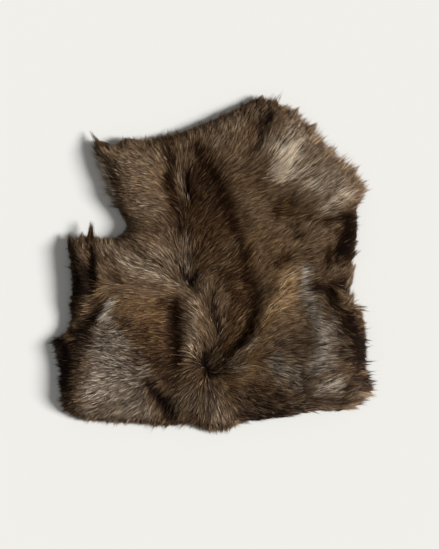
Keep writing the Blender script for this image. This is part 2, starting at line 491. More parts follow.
class Charts:
    """Values that change over the hide, on one grid of its plan."""

    def __init__(self, outline):
        low = outline.min(axis=0) - CHART_MARGIN
        high = outline.max(axis=0) + CHART_MARGIN
        self.low = low
        self.x = np.arange(low[0], high[0], CHART_CELL)
        self.y = np.arange(low[1], high[1], CHART_CELL)
        self.plan_x, self.plan_y = np.meshgrid(self.x, self.y)
        self.values = {}

    def read(self, name, x, y):
        """The chart's value at each place, blended between the four cells around it."""
        values = self.values[name]
        rows, columns = values.shape
        u = np.clip((x - self.low[0]) / CHART_CELL, 0, columns - FAR_EDGE)
        v = np.clip((y - self.low[1]) / CHART_CELL, 0, rows - FAR_EDGE)
        i, j = u.astype(int), v.astype(int)
        fu, fv = u - i, v - j
        near = values[j, i] * (1 - fu) + values[j, i + 1] * fu
        far = values[j + 1, i] * (1 - fu) + values[j + 1, i + 1] * fu
        return near * (1 - fv) + far * fv


def smooth_loop(places, steps=6):
    """Points along a closed Catmull-Rom curve through the places."""
    p = np.array(places, float)
    before, after, beyond = np.roll(p, 1, 0), np.roll(p, -1, 0), np.roll(p, -2, 0)
    t = (np.arange(steps) / steps)[None, :, None]
    p, before, after, beyond = (q[:, None, :] for q in (p, before, after, beyond))
    curve = (
        2 * p
        + (after - before) * t
        + (2 * before - 5 * p + 4 * after - beyond) * t**2
        + (3 * p - before - 3 * after + beyond) * t**3
    ) / 2
    return curve.reshape(-1, 2)


def inward_chart(charts, outline):
    """How far each place is inside the rim; outside it is below 0."""
    start, step = outline, np.roll(outline, -1, axis=0) - outline
    end = start + step
    squared = (step**2).sum(axis=1)
    rows = []
    for y in charts.y:
        ax = charts.x[:, None] - start[None, :, 0]
        ay = y - start[None, :, 1]
        along = np.clip((ax * step[:, 0] + ay * step[:, 1]) / squared, 0, 1)
        away = np.hypot(ax - along * step[:, 0], ay - along * step[:, 1]).min(axis=1)
        crosses = (start[:, 1] > y) != (end[:, 1] > y)
        first, run = start[crosses], step[crosses]
        at = first[:, 0] + (y - first[:, 1]) / run[:, 1] * run[:, 0]
        inside = (at[None, :] > charts.x[:, None]).sum(axis=1) % 2 == 1
        rows.append(np.where(inside, away, -away))
    return np.array(rows)


def ellipse(charts, x, y, half_length, half_width, angle):
    """The squared distance from a place, with 1 on the ellipse of those half sizes."""
    cos, sin = math.cos(math.radians(angle)), math.sin(math.radians(angle))
    ax, ay = charts.plan_x - x * MM, charts.plan_y - y * MM
    lengthwise = (ax * cos + ay * sin) / (half_length * MM)
    crosswise = (ay * cos - ax * sin) / (half_width * MM)
    return lengthwise**2 + crosswise**2


def noise_chart(charts, length, layer):
    """Smooth noise between about -1 and 1, with lumps of this length."""
    values = [
        [noise.noise(Vector((x / length, y / length, layer))) for x in charts.x]
        for y in charts.y
    ]
    return np.array(values)


def height_chart(charts):
    """The top of the lying hair over the floor."""
    full = PILE + TUFT_RISE * noise_chart(charts, TUFT_LENGTH, TUFT_LAYER)
    for form in RELIEF:
        away = ellipse(charts, form.x, form.y, form.half_length, form.half_width, form.angle)
        full += form.rise * MM * np.exp(-away)
    inward, wall = charts.values["inward"], charts.values["wall"]
    reached = np.clip(inward / SHOULDER, 0, 1)
    inside = wall + (full - wall) * np.sqrt(1 - (1 - reached) ** 2)
    outside = np.maximum(wall + DROOP * inward, FLOOR_CLEARANCE)
    return np.where(inward > 0, inside, outside)


def spread(charts, places, values, softness):
    """Values known at some places, spread over the chart by their nearness."""
    total = np.zeros((len(charts.y), len(charts.x), len(values[0])))
    weights = np.zeros((len(charts.y), len(charts.x), 1))
    for (x, y), value in zip(places, values):
        squared = (charts.plan_x - x * MM) ** 2 + (charts.plan_y - y * MM) ** 2
        weight = (1 / (squared + softness**2) ** 2)[:, :, None]
        total += weight * np.array(value)
        weights += weight
    return total / weights


def lie_charts(charts):
    """The way that the hair lies, from the table of lies and from the rim."""
    rows = [row for rows in LIE.values() for row in rows]
    rows += [(x, y, s.lie_deg) for s in RIM for x, y in s.places_mm]
    places = [(x, y) for x, y, _ in rows]
    heads = [(math.cos(math.radians(a)), math.sin(math.radians(a))) for _, _, a in rows]
    head = spread(charts, places, heads, LIE_SOFTNESS)
    head /= np.linalg.norm(head, axis=2, keepdims=True) + 1e-9
    charts.values["lie_x"] = head[:, :, 0]
    charts.values["lie_y"] = head[:, :, 1]


def along_line(charts, places):
    """The distance to a place, or to the nearest point of a line of places."""
    places = np.array(places, float) * MM
    away = np.hypot(charts.plan_x - places[0, 0], charts.plan_y - places[0, 1])
    for start, end in zip(places[:-1], places[1:]):
        run = end - start
        ax, ay = charts.plan_x - start[0], charts.plan_y - start[1]
        t = np.clip((ax * run[0] + ay * run[1]) / (run @ run), 0, 1)
        away = np.minimum(away, np.hypot(ax - t * run[0], ay - t * run[1]))
    return away


def coat_charts(charts):
    """Shade and warmth, mark over mark."""
    shade = np.full_like(charts.plan_x, BASE_SHADE)
    warmth = np.full_like(charts.plan_x, BASE_WARMTH)
    for mark in COAT:
        away = along_line(charts, mark.places) / (mark.half_width * MM)
        weight = np.exp(-(away**MARK_EDGE))
        shade += (mark.shade - shade) * weight
        warmth += (mark.warmth - warmth) * weight
    charts.values["shade"] = shade
    charts.values["warmth"] = warmth


def growth_chart(charts):
    """The usual length of the hair at each place."""
    length = np.full_like(charts.plan_x, HAIR_LENGTH)
    for growth in GROWTH:
        away = ellipse(charts, growth.x, growth.y, growth.radius, growth.radius, 0)
        length += (growth.length * MM - length) * np.exp(-(away**GROWTH_EDGE))
    return length


def chart_hide(outline):
    """Every chart that the pieces are made from."""
    charts = Charts(outline)
    charts.values["inward"] = inward_chart(charts, outline)
    places = [place for stretch in RIM for place in stretch.places_mm]
    sizes = [(s.reach_mm, s.wall_mm) for s in RIM for _ in s.places_mm]
    at_rim = spread(charts, places, sizes, RIM_SOFTNESS) * MM
    charts.values["reach"], charts.values["wall"] = at_rim[:, :, 0], at_rim[:, :, 1]
    charts.values["height"] = height_chart(charts)
    lie_charts(charts)
    coat_charts(charts)
    charts.values["length"] = growth_chart(charts)
    for name, length, layer in UNEVENNESS:
        charts.values[name] = noise_chart(charts, length, layer)
    return charts


def turned(x, y, angle):
    """Headings turned to the left by an angle in radians."""
    cos, sin = np.cos(angle), np.sin(angle)
    return x * cos - y * sin, x * sin + y * cos


LEAST_INSIDE = 0.4 * MM  # how far inside the rim a lock must start


def staggered(charts, spacing, draw):
    """Staggered places over the whole hide, each moved a little at random."""
    rows = np.arange(charts.y[0], charts.y[-1], spacing * math.sqrt(3) / 2)
    columns = np.arange(charts.x[0], charts.x[-1], spacing)
    x, y = np.meshgrid(columns, rows)
    x = x + (np.arange(len(rows)) % 2)[:, None] * spacing / 2
    x = (x + draw.uniform(-0.5, 0.5, x.shape) * spacing).ravel()
    y = (y + draw.uniform(-0.5, 0.5, y.shape) * spacing).ravel()
    inside = charts.read("inward", x, y) > LEAST_INSIDE
    return x[inside], y[inside]


def comb(charts, x, y, length, stray, bend):
    """Lines that start at these places and follow the lie of the hair."""
    path_x, path_y = np.zeros((len(x), HAIR_POINTS)), np.zeros((len(x), HAIR_POINTS))
    path_x[:, 0], path_y[:, 0] = x, y
    step = length / (HAIR_POINTS - 1)
    for k in range(1, HAIR_POINTS):
        from_x, from_y = path_x[:, k - 1], path_y[:, k - 1]
        head_x = charts.read("lie_x", from_x, from_y)
        head_y = charts.read("lie_y", from_x, from_y)
        head_x, head_y = turned(head_x, head_y, stray + bend * (k - 1))
        path_x[:, k] = from_x + head_x * step
        path_y[:, k] = from_y + head_y * step
    return path_x, path_y


def nearest(x, y, to_x, to_y):
    """For each place, which of the others is nearest to it."""
    tree = kdtree.KDTree(len(to_x))
    for index, place in enumerate(zip(to_x, to_y)):
        tree.insert((*place, 0), index)
    tree.balance()
    return np.array([tree.find((*place, 0))[1] for place in zip(x, y)])


# How tufts differ from each other
TUFT_LENGTHS = (0.82, 1.15)
TUFT_REACHES = (0.45, 1.3)
TUFT_PULLS = (0.0, 0.15)  # how far the locks are drawn to the tuft's middle line
TUFT_STRAY_DEG = 1.5
DRIFT_STRAY_DEG = 3
TUFT_BEND_DEG = 3
TUFT_LIFT_MM = 0.15
TUFT_TONE = 0.05
GATHER_CURVE = 1.5

# How locks differ. Some lie over the others, and short hair is less orderly than long hair.
OVER_SHARE = 0.3
OVER_LIFT_MM = (0.8, 0.35)
UNDER_LIFT_MM = (-0.3, 0.25)
OVER_TONE = (0.06, 0.25)
UNDER_TONE = (-0.06, 0.2)
OVER_PULL = 0.95  # how far the hairs are drawn to the lock's middle line
UNDER_PULLS = (0.4, 0.8)
LOCK_LENGTHS = (0.85, 1.1)
LOCK_REACHES = (0.8, 1.15)
STRAY_DEG_BY_LENGTH = ((10 * MM, 18 * MM), (11, 3))

# Where a lock takes its colour from, as a share of its run and to its side
COLOUR_SHARE = (0.94, 0.09)
COLOUR_ASIDE = 1.5 * MM

# A few locks are much paler than the mark they lie in
GLINT = 0.14
GLINT_RARITY = 12

Locks = namedtuple("Locks", "x y path_x path_y pull lift vary sample aside reach glint")


def comb_locks(charts, draw):
    """The middle line of each lock. Locks of one tuft lean together towards its tip."""
    x, y = staggered(charts, TUFT_SPACING, draw)
    tufts = len(x)
    length = charts.read("length", x, y) * draw.uniform(*TUFT_LENGTHS, tufts)
    drift = DRIFT_STRAY_DEG * charts.read("drift", x, y)
    stray = np.radians(draw.normal(0, TUFT_STRAY_DEG, tufts) + drift)
    bend = np.radians(draw.normal(0, TUFT_BEND_DEG, tufts))
    middle_x, middle_y = comb(charts, x, y, length, stray, bend)
    lift = draw.normal(0, TUFT_LIFT_MM, tufts) * MM
    pull = draw.uniform(*TUFT_PULLS, tufts)
    vary = draw.normal(0, TUFT_TONE, tufts)
    reach = draw.uniform(*TUFT_REACHES, tufts)

    x, y = staggered(charts, LOCK_SPACING, draw)
    locks = len(x)
    tuft = nearest(x, y, middle_x[:, 0], middle_y[:, 0])
    length = length[tuft] * draw.uniform(*LOCK_LENGTHS, locks)
    loose = np.interp(length, *STRAY_DEG_BY_LENGTH)
    stray = stray[tuft] + np.radians(draw.normal(0, 1, locks) * loose)
    path_x, path_y = comb(charts, x, y, length, stray, bend[tuft])
    gather = pull[tuft][:, None] * along_hair() ** GATHER_CURVE
    path_x += (middle_x[tuft] - path_x) * gather
    path_y += (middle_y[tuft] - path_y) * gather
    over = draw.uniform(0, 1, locks) < OVER_SHARE
    raised = np.where(
        over, draw.normal(*OVER_LIFT_MM, locks), draw.normal(*UNDER_LIFT_MM, locks)
    )
    varied = np.where(over, draw.normal(*OVER_TONE, locks), draw.normal(*UNDER_TONE, locks))
    return Locks(
        x,
        y,
        path_x,
        path_y,
        np.where(over, OVER_PULL, draw.uniform(*UNDER_PULLS, locks)),
        lift[tuft] + raised * MM,
        vary[tuft] + varied,
        draw.normal(*COLOUR_SHARE, locks),
        draw.normal(0, COLOUR_ASIDE, (2, locks)),
        reach[tuft] * draw.uniform(*LOCK_REACHES, locks),
        GLINT * draw.uniform(0, 1, locks) ** GLINT_RARITY,
    )


Hairs = namedtuple("Hairs", "x y z width shade warmth")


def along_hair():
    """Shares of a hair's length, one for each place along it."""
    return np.linspace(0, 1, HAIR_POINTS)[None, :]


# How hairs differ within a lock
HAIR_SHARES = (0.75, 1.06)  # of the lock's run
HAIR_STRAY_DEG = 1.6
HAIR_WANDER = 0.2 * MM
HAIR_LIFT_MM = (-0.2, 0.25)
LIFT_CURVE = 1.3
ROOT_DEPTHS = (0.8, 1.2)
ROOT_CURVE = 2.3
ROOT_CLEARANCE = 0.4 * MM  # over the skin
ROOT_INSIDE = 0.2 * MM

# How far past the rim a hair of the coat may go, as a share of the reach there
COAT_REACH = 0.38
HAIR_REACHES = (0.2, 1.4)
LEAST_SHARE = 0.05
TRIMS = 3


def grow_hairs(charts, locks, draw):
    """Every hair of the coat, as places along it from root to tip."""
    lock = np.repeat(np.arange(len(locks.x)), HAIRS_PER_LOCK)
    count = len(lock)
    t = along_hair()
    angle = draw.uniform(0, 2 * math.pi, count)
    off = LOCK_RADIUS * np.sqrt(draw.uniform(0, 1, count))
    off_x, off_y = off * np.cos(angle), off * np.sin(angle)
    root_x, root_y = locks.x[lock] + off_x, locks.y[lock] + off_y
    run_x = locks.path_x[lock] - locks.x[lock][:, None]
    run_y = locks.path_y[lock] - locks.y[lock][:, None]
    stray = np.radians(draw.normal(0, HAIR_STRAY_DEG, count))
    run_x, run_y = turned(run_x, run_y, stray[:, None])
    share = draw.uniform(*HAIR_SHARES, count)
    inside = charts.read("inward", root_x, root_y)
    allowed = charts.read("reach", root_x, root_y) * locks.reach[lock] * COAT_REACH
    allowed *= draw.uniform(*HAIR_REACHES, count) * raggedness(charts, root_x, root_y)
    for _ in range(TRIMS):
        past = -charts.read(
            "inward", root_x + run_x[:, -1] * share, root_y + run_y[:, -1] * share
        )
        over = past > allowed
        held = (inside + allowed) / np.maximum(inside + past, 1e-6)
        share = np.where(over, share * np.clip(held, LEAST_SHARE, 1), share)
    gather = locks.pull[lock][:, None] * t**GATHER_CURVE
    x = root_x[:, None] + run_x * share[:, None] - off_x[:, None] * gather
    y = root_y[:, None] + run_y * share[:, None] - off_y[:, None] * gather
    wander = HAIR_WANDER * t
    x += draw.normal(0, 1, x.shape) * wander
    y += draw.normal(0, 1, y.shape) * wander
    depth = ROOT_DEPTH * draw.uniform(*ROOT_DEPTHS, count)[:, None] * (1 - t) ** ROOT_CURVE
    raised = (locks.lift[lock] + draw.normal(*HAIR_LIFT_MM, count) * MM)[:, None]
    z = charts.read("height", x, y) - depth + raised * t**LIFT_CURVE
    z[:, 0] = np.maximum(z[:, 0], SKIN_THICKNESS + ROOT_CLEARANCE)
    z = np.maximum(z, FLOOR_CLEARANCE)
    keep = inside > ROOT_INSIDE
    shade, warmth = hair_colours(charts, locks, lock, x, y, draw)
    width = hair_widths(count, draw)
    found = (a[keep] for a in (x, y, z, width, shade, warmth))
    return Hairs(*found)


# The width along a hair from root to tip, and how much the widths of hairs differ
WIDTH_ALONG = ((0, 0.5, 1), (0.85, 0.95, 0.0))
HAIR_WIDTHS = (0.7, 1.2)


def hair_widths(count, draw):
    """The width at each place along each hair, down to nothing at its tip."""
    profile = np.interp(along_hair(), *WIDTH_ALONG)
    return HAIR_WIDTH * draw.uniform(*HAIR_WIDTHS, count)[:, None] * profile


# How much hairs differ in tone, by the shade and the warmth of the mark that they lie in
CONTRAST_BY_SHADE = ((0.05, 0.12, 0.25, 0.34, 0.37), (3.2, 2.8, 1.0, 0.9, 2.5))
CONTRAST_BY_WARMTH = ((0.1, 0.4, 0.7, 1.0), (1.7, 1.1, 0.85, 0.6))
GLINT_BY_SHADE = ((0.05, 0.15), (1, 0))
HAIR_TONE = 0.17
MOTTLE_TONE = 0.08
TONE_LIMITS = (0.25, 2.6)
TONE_ALONG = ((0, 0.5, 1), (0.25, 0.62, 1.12))
TIP_TONES = (0.75, 1.3)
HAIR_WARMTH = 0.13
ROOT_WARMTH = 0.15
WARMTH_FADE = 0.2
SHADE_LIMITS = (0.01, 0.98)
WARMTH_LIMITS = (0.02, 0.98)


def hair_colours(charts, locks, lock, x, y, draw):
    """Shade and warmth along each hair, darkest and warmest at its root. Each lock takes its
    colour from near its own end, some before it, so that marks have ragged edges."""
    count = len(lock)
    part = locks.sample[lock]
    at_x = x[:, 0] + (x[:, -1] - x[:, 0]) * part + locks.aside[0][lock]
    at_y = y[:, 0] + (y[:, -1] - y[:, 0]) * part + locks.aside[1][lock]
    zone = charts.read("shade", at_x, at_y)
    tone = charts.read("warmth", at_x, at_y)
    contrast = np.interp(zone, *CONTRAST_BY_SHADE)
    contrast *= np.interp(tone, *CONTRAST_BY_WARMTH)
    vary = np.exp((locks.vary[lock] + draw.normal(0, HAIR_TONE, count)) * contrast)
    zone = zone + locks.glint[lock] * np.interp(zone, *GLINT_BY_SHADE)
    vary *= 1 + MOTTLE_TONE * charts.read("mottle", at_x, at_y)
    banding = np.interp(along_hair(), *TONE_ALONG)
    tip = np.ones((count, HAIR_POINTS))
    tip[:, -1] = draw.uniform(*TIP_TONES, count)
    shade = zone[:, None] * np.clip(vary, *TONE_LIMITS)[:, None] * banding * tip
    warmth = tone + draw.normal(0, HAIR_WARMTH, count)
    warmth = warmth[:, None] + ROOT_WARMTH - WARMTH_FADE * along_hair()
    return np.clip(shade, *SHADE_LIMITS), np.clip(warmth, *WARMTH_LIMITS)


# How the hairs of a standing lock differ, and how they draw together to its point
SPIKE_STRAY_DEG = 2.5
SPIKE_LENGTHS = (0.5, 1.0)
SPIKE_GATHER = 0.94
SPIKE_GATHER_CURVE = 1.8
SPIKE_ROOT_DEPTH = 4 * MM
SPIKE_ROOT_DEPTHS = (0.2, 1.2)
SPIKE_RISE_CURVE = 1.5
SPIKE_TONE = 0.25
SPIKE_TONE_LIMITS = (0.4, 1.8)
SPIKE_ROOT_TONE = 0.6
SPIKE_TONE_RISE = 0.6


def grow_spikes(charts, draw):
    """The locks that stand out, gathered to a point."""
    t = along_hair()
    found = []
    for spike in SPIKES:
        count = spike.hairs
        angle = draw.uniform(0, 2 * math.pi, count)
        off = spike.root_radius * MM * np.sqrt(draw.uniform(0, 1, count))
        off_x, off_y = (off * np.cos(angle))[:, None], (off * np.sin(angle))[:, None]
        lie = np.radians(spike.lie + draw.normal(0, SPIKE_STRAY_DEG, count))[:, None]
        run = spike.length * MM * draw.uniform(*SPIKE_LENGTHS, count)[:, None] * t
        gather = 1 - SPIKE_GATHER * t**SPIKE_GATHER_CURVE
        x = spike.x * MM + off_x * gather + run * np.cos(lie)
        y = spike.y * MM + off_y * gather + run * np.sin(lie)
        top = charts.read("height", x[:, 0], y[:, 0])[:, None]
        start = top - SPIKE_ROOT_DEPTH * draw.uniform(*SPIKE_ROOT_DEPTHS, count)[:, None]
        z = start + (spike.height * MM - start) * t**SPIKE_RISE_CURVE
        vary = 1 + SPIKE_TONE * draw.normal(0, 1, count)
        vary = np.clip(vary, *SPIKE_TONE_LIMITS)[:, None]
        shade = spike.shade * vary * (SPIKE_ROOT_TONE + SPIKE_TONE_RISE * t)
        warmth = np.full_like(shade, spike.warmth)
        found.append(Hairs(x, y, z, hair_widths(count, draw), shade, warmth))
    return found


# How much the coat's unevenness changes the reach of the rim's hair
MOTTLE_REACH = 0.7
FRAY_REACH = 1.9
REACH_LIMITS = (0.3, 2.2)


def raggedness(charts, x, y):
    """How far the rim's hair reaches here, next to its usual reach."""
    mottle, fray = charts.read("mottle", x, y), charts.read("fray", x, y)
    uneven = MOTTLE_REACH * mottle + FRAY_REACH * fray
    return np.clip(1 + uneven, *REACH_LIMITS)


# The locks of the rim, and how they and their hairs differ
FRINGE_SPACING = 1.25 * MM
FRINGE_HAIRS = 13
FRINGE_RADIUS = 1.0 * MM
FRINGE_FARTHEST = 19 * MM
FRINGE_LEAST_REACH = 0.3
FRINGE_MORE_REACH = 0.9
FRINGE_REACH_RARITY = 1.3
FRINGE_STRAY_DEG = 12
FRINGE_ROOTS_MM = (7, 14)  # how far inside the rim a lock starts
FRINGE_SHARES = (0.6, 1.0)
LONG_HAIR_CHANCE = 0.1
LONG_HAIR_SHARE = 1.15
FRINGE_GATHER = 0.9
FRINGE_WANDER = 0.3 * MM
FRINGE_ROOT_DEPTH = 2.5 * MM
FRINGE_LIFTS_MM = (-9, 3)
FRINGE_HAIR_LIFT_MM = 0.4
FRINGE_WARMTH = 0.1
FRINGE_LOCK_TONE = (0.05, 0.35)
FRINGE_HAIR_TONE = 0.2
FRINGE_TONE_LIMITS = (0.35, 1.5)
FRINGE_ROOT_TONE = 0.75
FRINGE_TONE_RISE = 0.3
FRINGE_WIDTH = 0.85


def grow_fringe(charts, outline, draw):
    """Pointed locks along the rim. Each starts inside it and reaches a little past it."""
    ahead = np.roll(outline, -1, axis=0)
    step = np.hypot(*(ahead - outline).T)
    place = np.arange(0, step.sum(), FRINGE_SPACING)
    place += draw.uniform(-0.5, 0.5, len(place)) * FRINGE_SPACING
    along = np.append(0, np.cumsum(step))
    closed = np.vstack([outline, outline[:1]])
    rim_x = np.interp(place, along, closed[:, 0])
    rim_y = np.interp(place, along, closed[:, 1])
    lock = np.repeat(np.arange(len(place)), FRINGE_HAIRS)
    count = len(lock)
    t = along_hair()
    head_x, head_y = charts.read("lie_x", rim_x, rim_y), charts.read("lie_y", rim_x, rim_y)
    turn = np.radians(draw.normal(0, FRINGE_STRAY_DEG, len(place)))
    head_x, head_y = turned(head_x, head_y, turn)
    reach = charts.read("reach", rim_x, rim_y) * raggedness(charts, rim_x, rim_y)
    more = draw.uniform(0, 1, len(place)) ** FRINGE_REACH_RARITY
    reach *= FRINGE_LEAST_REACH + FRINGE_MORE_REACH * more
    reach = np.minimum(reach, FRINGE_FARTHEST)
    start = draw.uniform(*FRINGE_ROOTS_MM, len(place)) * MM
    share = draw.uniform(*FRINGE_SHARES, count)[:, None]
    long_hair = draw.uniform(0, 1, count) < LONG_HAIR_CHANCE
    share *= np.where(long_hair, LONG_HAIR_SHARE, 1.0)[:, None]
    run = (start + reach)[lock][:, None] * share * t - start[lock][:, None]
    off = draw.normal(0, 1, (2, count)) * FRINGE_RADIUS
    gather = 1 - FRINGE_GATHER * t**GATHER_CURVE
    wander = draw.normal(0, FRINGE_WANDER, (2, count))[:, :, None] * t
    x = rim_x[lock][:, None] + head_x[lock][:, None] * run + off[0][:, None] * gather + wander[0]
    y = rim_y[lock][:, None] + head_y[lock][:, None] * run + off[1][:, None] * gather + wander[1]
    z = charts.read("height", x, y) - FRINGE_ROOT_DEPTH * (1 - t)
    raised = draw.uniform(*FRINGE_LIFTS_MM, len(place))[lock]
    raised = (raised + draw.normal(0, FRINGE_HAIR_LIFT_MM, count)) * MM
    z = np.maximum(z + raised[:, None] * t, FLOOR_CLEARANCE)
    zone = charts.read("shade", rim_x, rim_y)
    warmth = charts.read("warmth", rim_x, rim_y)[lock] + draw.normal(0, FRINGE_WARMTH, count)
    vary = draw.normal(*FRINGE_LOCK_TONE, len(place))[lock]
    vary = np.exp(vary + draw.normal(0, FRINGE_HAIR_TONE, count))
    shade = (zone[lock] * np.clip(vary, *FRINGE_TONE_LIMITS))[:, None]
    shade = shade * (FRINGE_ROOT_TONE + FRINGE_TONE_RISE * t)
    warmth = np.repeat(np.clip(warmth, *WARMTH_LIMITS)[:, None], HAIR_POINTS, axis=1)
    width = hair_widths(count, draw) * FRINGE_WIDTH
    return Hairs(x, y, z, width, np.clip(shade, *SHADE_LIMITS), warmth)


def joined_hairs(groups):
    return Hairs(*(np.concatenate(values) for values in zip(*groups)))


RIBBON_ROLL_DEG = 32
RIBBON_FLOOR = 0.3 * MM
BAKE_OFFSET = 0.006  # gives each ribbon a little width on the bake's map of shade and warmth


def hair_mesh(name, hairs, draw):
    """Ribbons that taper to a point: a quad and a triangle for each hair."""
    count = len(hairs.x)
    line = np.stack([hairs.x - PLAN_MIDDLE[0], hairs.y - PLAN_MIDDLE[1], hairs.z], axis=2)
    along = np.gradient(line, axis=1)
    flat = np.stack([-along[:, :, 1], along[:, :, 0], np.zeros(along.shape[:2])], axis=2)
    flat /= np.linalg.norm(flat, axis=2, keepdims=True) + 1e-12
    up = np.cross(along, flat)
    up /= np.linalg.norm(up, axis=2, keepdims=True) + 1e-12
    roll = np.radians(draw.normal(0, RIBBON_ROLL_DEG, count))[:, None, None]
    side = (flat * np.cos(roll) + up * np.sin(roll)) * hairs.width[:, :, None] / 2
    left, right = line - side, line + side
    tip = HAIR_POINTS - 1
    pairs = np.stack([left[:, :tip], right[:, :tip]], axis=2).reshape(count, 2 * tip, 3)
    corners = np.concatenate([pairs, line[:, tip:]], axis=1)
    corners[:, :, 2] = np.maximum(corners[:, :, 2], RIBBON_FLOOR)
    station = np.append(np.repeat(np.arange(tip), 2), tip)
    quads = [(2 * k, 2 * k + 1, 2 * k + 3, 2 * k + 2) for k in range(tip - 1)]
    pattern = np.array(sum(quads, ()) + (2 * tip - 2, 2 * tip - 1, 2 * tip))
    loops = (np.arange(count)[:, None] * len(station) + pattern[None, :]).ravel()
    starts = (np.arange(count)[:, None] * len(pattern) + 4 * np.arange(tip)[None, :]).ravel()
    mesh = bpy.data.meshes.new(name)
    mesh.vertices.add(count * len(station))
    mesh.vertices.foreach_set("co", corners.ravel())
    mesh.loops.add(len(loops))
    mesh.loops.foreach_set("vertex_index", loops)
    mesh.polygons.add(count * tip)
    mesh.polygons.foreach_set("loop_start", starts)
    mesh.update(calc_edges=True)
    mesh.validate()
    shade = hairs.shade[:, station]
    warmth = hairs.warmth[:, station]
    give_colours(mesh, shade.ravel(), warmth.ravel())
    edge = np.append(np.tile([-1, 1], tip), 0)[None, :] * BAKE_OFFSET
    places = np.stack([np.clip(shade + edge, 0, 1), np.clip(warmth - edge, 0, 1)], axis=2)
    layer = mesh.uv_layers.new(name="OFBake")
    layer.uv.foreach_set("vector", places.reshape(-1, 2)[loops].astype(np.float32).ravel())
    mesh.shade_smooth()
    return mesh


def give_colours(mesh, shade, warmth):
    """The two values that the coat's material reads at each point."""
    for name, values in (("coat_shade", shade), ("coat_warmth", warmth)):
        layer = mesh.attributes.new(name, "FLOAT", "POINT")
        layer.data.foreach_set("value", values.astype(np.float32))


GRID_CLEARANCE = 0.6  # between the rim and the places inside it, as a share of the pitch
KEEP_INSIDE = 1  # the triangulation leaves out what is outside the outline
MERGE_WITHIN = 1e-7
SHARP_ANGLE_DEG = 50


def slab(name, charts, outline, pitch, bottom, top):
    """A closed slab inside an outline. top gives the height at a place."""
    rim = [Vector(p) for p in outline[::-1]]
    row_pitch = pitch * math.sqrt(3) / 2
    inset = -charts.read("inward", outline[:, 0], outline[:, 1]).min()
    rows = np.arange(charts.y[0], charts.y[-1], row_pitch)
    places = []
    for row, y in enumerate(rows):
        x = np.arange(charts.x[0] + pitch / 2 * (row % 2), charts.x[-1], pitch)
        inward = charts.read("inward", x, np.full_like(x, y))
        clear = inward > GRID_CLEARANCE * pitch - inset
        places += [Vector((a, y)) for a in x[clear]]
    found, _, faces, _, _, _ = geometry.delaunay_2d_cdt(
        rim + places, [], [list(range(len(rim)))], KEEP_INSIDE, MERGE_WITHIN
    )
    x, y = np.array([tuple(p) for p in found]).T
    z = top(x, y)
    bm = bmesh.new()
    points = [
        bm.verts.new((a - PLAN_MIDDLE[0], b - PLAN_MIDDLE[1], c)) for a, b, c in zip(x, y, z)
    ]
    for face in faces:
        bm.faces.new([points[i] for i in face])
    edge = [e for e in bm.edges if e.is_boundary]
    drawn = bmesh.ops.extrude_edge_only(bm, edges=edge)["geom"]
    for vertex in (v for v in drawn if isinstance(v, bmesh.types.BMVert)):
        vertex.co.z = bottom
    sole_edge = [e for e in bm.edges if e.is_boundary]
    bmesh.ops.triangle_fill(bm, edges=sole_edge, use_beauty=True)
    bmesh.ops.recalc_face_normals(bm, faces=bm.faces)
    mesh = bpy.data.meshes.new(name)
    bm.to_mesh(mesh)
    bm.free()
    mesh.shade_smooth()
    mesh.set_sharp_from_angle(angle=math.radians(SHARP_ANGLE_DEG))
    return mesh


def inset_outline(outline, distance):
    """The outline drawn in by a distance along its own normals."""
    run = np.roll(outline, -1, axis=0) - np.roll(outline, 1, axis=0)
    run /= np.linalg.norm(run, axis=1, keepdims=True)
    return outline + np.stack([run[:, 1], -run[:, 0]], axis=1) * distance


def add_piece(name, mesh, material):
    """A piece of the pad, in place of the solid."""
    piece = bpy.data.objects.new(name, mesh)
    mesh.materials.append(material)
    bpy.context.scene.collection.objects.link(piece)
    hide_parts(NODE)
    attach(piece, BODY)
    return piece


# Materials


def new_group(name, inputs, outputs):
    """A shader node group with its sockets, and its ends ready to link."""
    group = bpy.data.node_groups.new(name, "ShaderNodeTree")
    for label, kind, value in inputs:
        socket = group.interface.new_socket(label, in_out="INPUT", socket_type=kind)
        if value is not None:
            socket.default_value = value
    for label, kind in outputs:
        group.interface.new_socket(label, in_out="OUTPUT", socket_type=kind)
    start = group.nodes.new("NodeGroupInput")
    end = group.nodes.new("NodeGroupOutput")
    return group, start, end


def ramp(tree, factor, stops):
    """A colour ramp, with a place and a colour for each stop."""
    node = tree.nodes.new("ShaderNodeValToRGB")
    elements = node.color_ramp.elements
    while len(elements) < len(stops):
        elements.new(0.5)
    for element, (place, colour) in zip(elements, stops):
        element.position = place
        element.color = (*colour, 1)
    tree.links.new(factor, node.inputs["Fac"])
    return node.outputs["Color"]


# The Mix node's sockets when it mixes colours
MIX_FACTOR, MIX_FIRST, MIX_SECOND, MIX_RESULT = 0, 6, 7, 2


def mix_colour(tree, factor, first, second, blend="MIX"):
    """Two colours mixed. The factor is a number or a socket."""
    node = tree.nodes.new("ShaderNodeMix")
    node.data_type = "RGBA"
    node.blend_type = blend
    for socket, value in ((MIX_FACTOR, factor), (MIX_FIRST, first), (MIX_SECOND, second)):
        if isinstance(value, bpy.types.NodeSocket):
            tree.links.new(value, node.inputs[socket])
        else:
            node.inputs[socket].default_value = value
    return node.outputs[MIX_RESULT]


def new_material(name, roughness, specular):
    material = bpy.data.materials.new(name)
    material.use_nodes = True
    tree = material.node_tree
    shader = tree.nodes["Principled BSDF"]
    shader.inputs["Roughness"].default_value = roughness
    shader.inputs["Specular IOR Level"].default_value = specular
    return material, tree, shader


def add_noise(tree, scale, detail):
    """Noise that stays with the piece, with so many lumps to the metre."""
    place = tree.nodes.new("ShaderNodeTexCoord")
    node = tree.nodes.new("ShaderNodeTexNoise")
    node.inputs["Scale"].default_value = scale
    node.inputs["Detail"].default_value = detail
    tree.links.new(place.outputs["Object"], node.inputs["Vector"])
    return node.outputs["Fac"]


